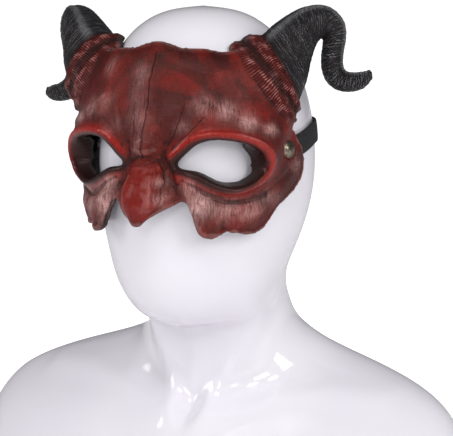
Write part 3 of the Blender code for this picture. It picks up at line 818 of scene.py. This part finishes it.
elastic, tree, shader = newMaterial("wovenElastic")
place = put(tree, "ShaderNodeTexCoord").outputs["Object"]
parts = put(tree, "ShaderNodeSeparateXYZ", {0: attribute(tree, "bandPlace", "Vector")}).outputs
ribs = sums(tree, "SINE", times(tree, parts["Y"], 2 * math.pi / strapSet["rib"]))
threads = sums(tree, "SINE", times(tree, parts["X"], 2 * math.pi / strapSet["thread"]))
woven = sums(tree, "MULTIPLY_ADD", sums(tree, "ABSOLUTE", ribs), 0.6, times(tree, threads, ribs))
fuzz = useGroup(tree, fineSpecks, {"Vector": place, "Scale": 1800.0, "Amount": 0.5})
colour = blend(tree, eased(tree, woven, -0.6, 1.2), strapSet["black"], strapSet["greyThread"])
colour = blend(tree, times(tree, fuzz["Mask"], 0.5), colour, strapSet["fuzz"])
tree.links.new(colour, shader.inputs["Base Color"])
tree.links.new(eased(tree, fuzz["Grain"], 0.3, 0.7, 0.72, 0.92), shader.inputs["Roughness"])
bumped(tree, shader, woven, 0.6, 0.0003)
shader.inputs["Specular IOR Level"].default_value = 0.2
shader.inputs["Sheen Weight"].default_value = 0.04
shader.inputs["Sheen Roughness"].default_value = 0.4
strap.data.materials.append(elastic)
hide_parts("elastic_strap")
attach(strap, "root")
print("strap done")


# Rivets: a disc drawn up by extruding and narrowing, with a rolled edge and a washer behind
rivetSet = {
    "sides": 48,
    "base": (71.961, -50.312, 261.0),  # on the head, in millimetres, for the rivet at +X
    "axis": (0.9349, -0.3526, 0.0412),
    "rings": [  # radius, height over the head, from the back of the washer to the top of the cap
        (4.4, 0.9), (4.4, 1.5), (4.2, 1.7), (2.2, 1.7), (2.2, 8.35), (5.9, 8.35), (6.2, 8.5),
        (6.25, 8.8), (6.1, 9.1), (5.75, 9.35), (5.35, 9.4), (4.9, 9.65), (4.2, 10.1), (3.2, 10.65),
        (2.0, 11.05), (1.0, 11.2), (0.3, 11.25),
    ],
    "brass": (0.26, 0.22, 0.165, 1),
    "tarnish": (0.095, 0.075, 0.052, 1),
    "scuff": (0.40, 0.365, 0.31, 1),
}


# the rings are stacked along +Z at the origin, then laid on the rivet's own line
def drawnRivet(name, side):
    firstRadius, firstHeight = rivetSet["rings"][0]
    bpy.ops.object.select_all(action="DESELECT")
    bpy.ops.mesh.primitive_circle_add(
        vertices=rivetSet["sides"], radius=firstRadius / 1000, fill_type="NGON",
        location=(0, 0, firstHeight / 1000))
    piece = bpy.context.object
    piece.name = name
    bpy.ops.object.transform_apply(location=True, rotation=True, scale=True)
    bpy.ops.object.mode_set(mode="EDIT")
    bpy.ops.mesh.select_all(action="SELECT")
    before, level = firstRadius, firstHeight
    for radius, height in rivetSet["rings"][1:]:
        bpy.ops.mesh.extrude_region_move(TRANSFORM_OT_translate={"value": (0, 0, (height - level) / 1000)})
        narrowing = radius / before
        bpy.ops.transform.resize(value=(narrowing, narrowing, 1), center_override=(0, 0, height / 1000))
        before, level = radius, height
    bpy.ops.mesh.select_all(action="SELECT")
    bpy.ops.mesh.normals_make_consistent(inside=False)
    bpy.ops.object.mode_set(mode="OBJECT")
    axis = Vector(rivetSet["axis"])
    base = Vector(rivetSet["base"]) / 1000
    piece.rotation_mode = "QUATERNION"
    piece.rotation_quaternion = Vector((axis.x * side, axis.y, axis.z)).to_track_quat("Z", "Y")
    piece.location = (base.x * side, base.y, base.z)
    selectOnly(piece)
    bpy.ops.object.transform_apply(location=True, rotation=True, scale=True)
    bpy.ops.object.shade_smooth_by_angle(angle=math.radians(50))
    return piece


metal, tree, shader = newMaterial("agedBrass")
place = put(tree, "ShaderNodeTexCoord").outputs["Object"]
tarnish = eased(tree, noise(tree, place, 420, 4, 0.65), 0.4, 0.65)
scuffs = useGroup(tree, fineSpecks, {"Vector": place, "Scale": 1500.0, "Amount": 0.5})
colour = blend(tree, tarnish, rivetSet["brass"], rivetSet["tarnish"])
colour = blend(tree, times(tree, scuffs["Mask"], 0.6), colour, rivetSet["scuff"])
tree.links.new(colour, shader.inputs["Base Color"])
tree.links.new(eased(tree, tarnish, 0.0, 1.0, 0.24, 0.42), shader.inputs["Roughness"])
bumped(tree, shader, scuffs["Grain"], 0.25, 0.0002)
shader.inputs["Metallic"].default_value = 1.0
for side, word in ((1, "left"), (-1, "right")):
    rivet = drawnRivet("rivet" + word.capitalize(), side)
    rivet.data.materials.append(metal)
    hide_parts("rivet_" + word)
    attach(rivet, "root")
print("rivets done")


# Pale floor, soft boxes and a bright room
studio = {
    "floorSize": 80.0,
    "floorColour": (0.93, 0.93, 0.94, 1),
    "floorPatch": (0.95, 0.95, 0.955, 1),
    "floorGlow": 0.10,
    "floorGlowSeen": 0.85,
    "roomColour": (0.93, 0.92, 0.96, 1),
    "roomStrength": 0.36,
    "roomMirrored": 0.14,  # how bright the room is in reflections
    "roomSeen": 1.05,  # and to the camera
    "boxes": [  # name, place, aimed at, width, height, watts
        ("leftBox", (-1.0, -0.95, 0.85), (0, -0.03, 0.15), 0.55, 0.8, 5.9),
        ("rightBox", (1.15, -0.6, 0.85), (0, 0, 0.15), 0.45, 0.8, 8.5),
        ("frontBox", (0.30, -1.35, 0.75), (0, 0, 0.25), 0.30, 0.35, 3.0),
        ("highBox", (0.25, -0.95, 1.25), (0, -0.05, 0.1), 0.5, 0.3, 3.2),
    ],
}
bpy.ops.object.select_all(action="DESELECT")
bpy.ops.mesh.primitive_plane_add(size=studio["floorSize"], location=(0, 0, -0.0005))
floor = bpy.context.object
floor.name = "floor"
paper, tree, shader = newMaterial("palePaper")
place = put(tree, "ShaderNodeTexCoord").outputs["Object"]
shade = eased(tree, noise(tree, place, 2.5, 2), 0.3, 0.7)
paperColour = blend(tree, shade, studio["floorColour"], studio["floorPatch"])
tree.links.new(paperColour, shader.inputs["Base Color"])
shader.inputs["Roughness"].default_value = 0.9
shader.inputs["Emission Color"].default_value = (1, 1, 1, 1)
seen = put(tree, "ShaderNodeLightPath").outputs["Is Camera Ray"]
glow = eased(tree, seen, 0.0, 1.0, studio["floorGlow"], studio["floorGlowSeen"])
tree.links.new(glow, shader.inputs["Emission Strength"])
floor.data.materials.append(paper)

room = bpy.data.worlds.new("room")
scene.world = room
room.use_nodes = True
tree = room.node_tree
back = tree.nodes["Background"]
back.inputs[0].default_value = studio["roomColour"]
white = put(tree, "ShaderNodeBackground", {0: (1, 1, 1, 1), 1: studio["roomSeen"]})
rays = put(tree, "ShaderNodeLightPath").outputs
strength = eased(tree, rays["Is Glossy Ray"], 0.0, 1.0, studio["roomStrength"], studio["roomMirrored"])
tree.links.new(strength, back.inputs[1])
mixed = put(tree, "ShaderNodeMixShader", {0: rays["Is Camera Ray"], 1: back.outputs[0], 2: white.outputs[0]})
tree.links.new(mixed.outputs[0], tree.nodes["World Output"].inputs[0])

for name, at, aim, width, height, watts in studio["boxes"]:
    bpy.ops.object.select_all(action="DESELECT")
    bpy.ops.object.light_add(type="AREA", location=at)
    box = bpy.context.object
    box.name = name
    box.data.shape = "RECTANGLE"
    box.data.size, box.data.size_y = width, height
    box.data.energy = watts
    box.rotation_euler = (Vector(aim) - Vector(at)).to_track_quat("-Z", "Y").to_euler()
scene.view_settings.view_transform = "Standard"
print("studio lit")
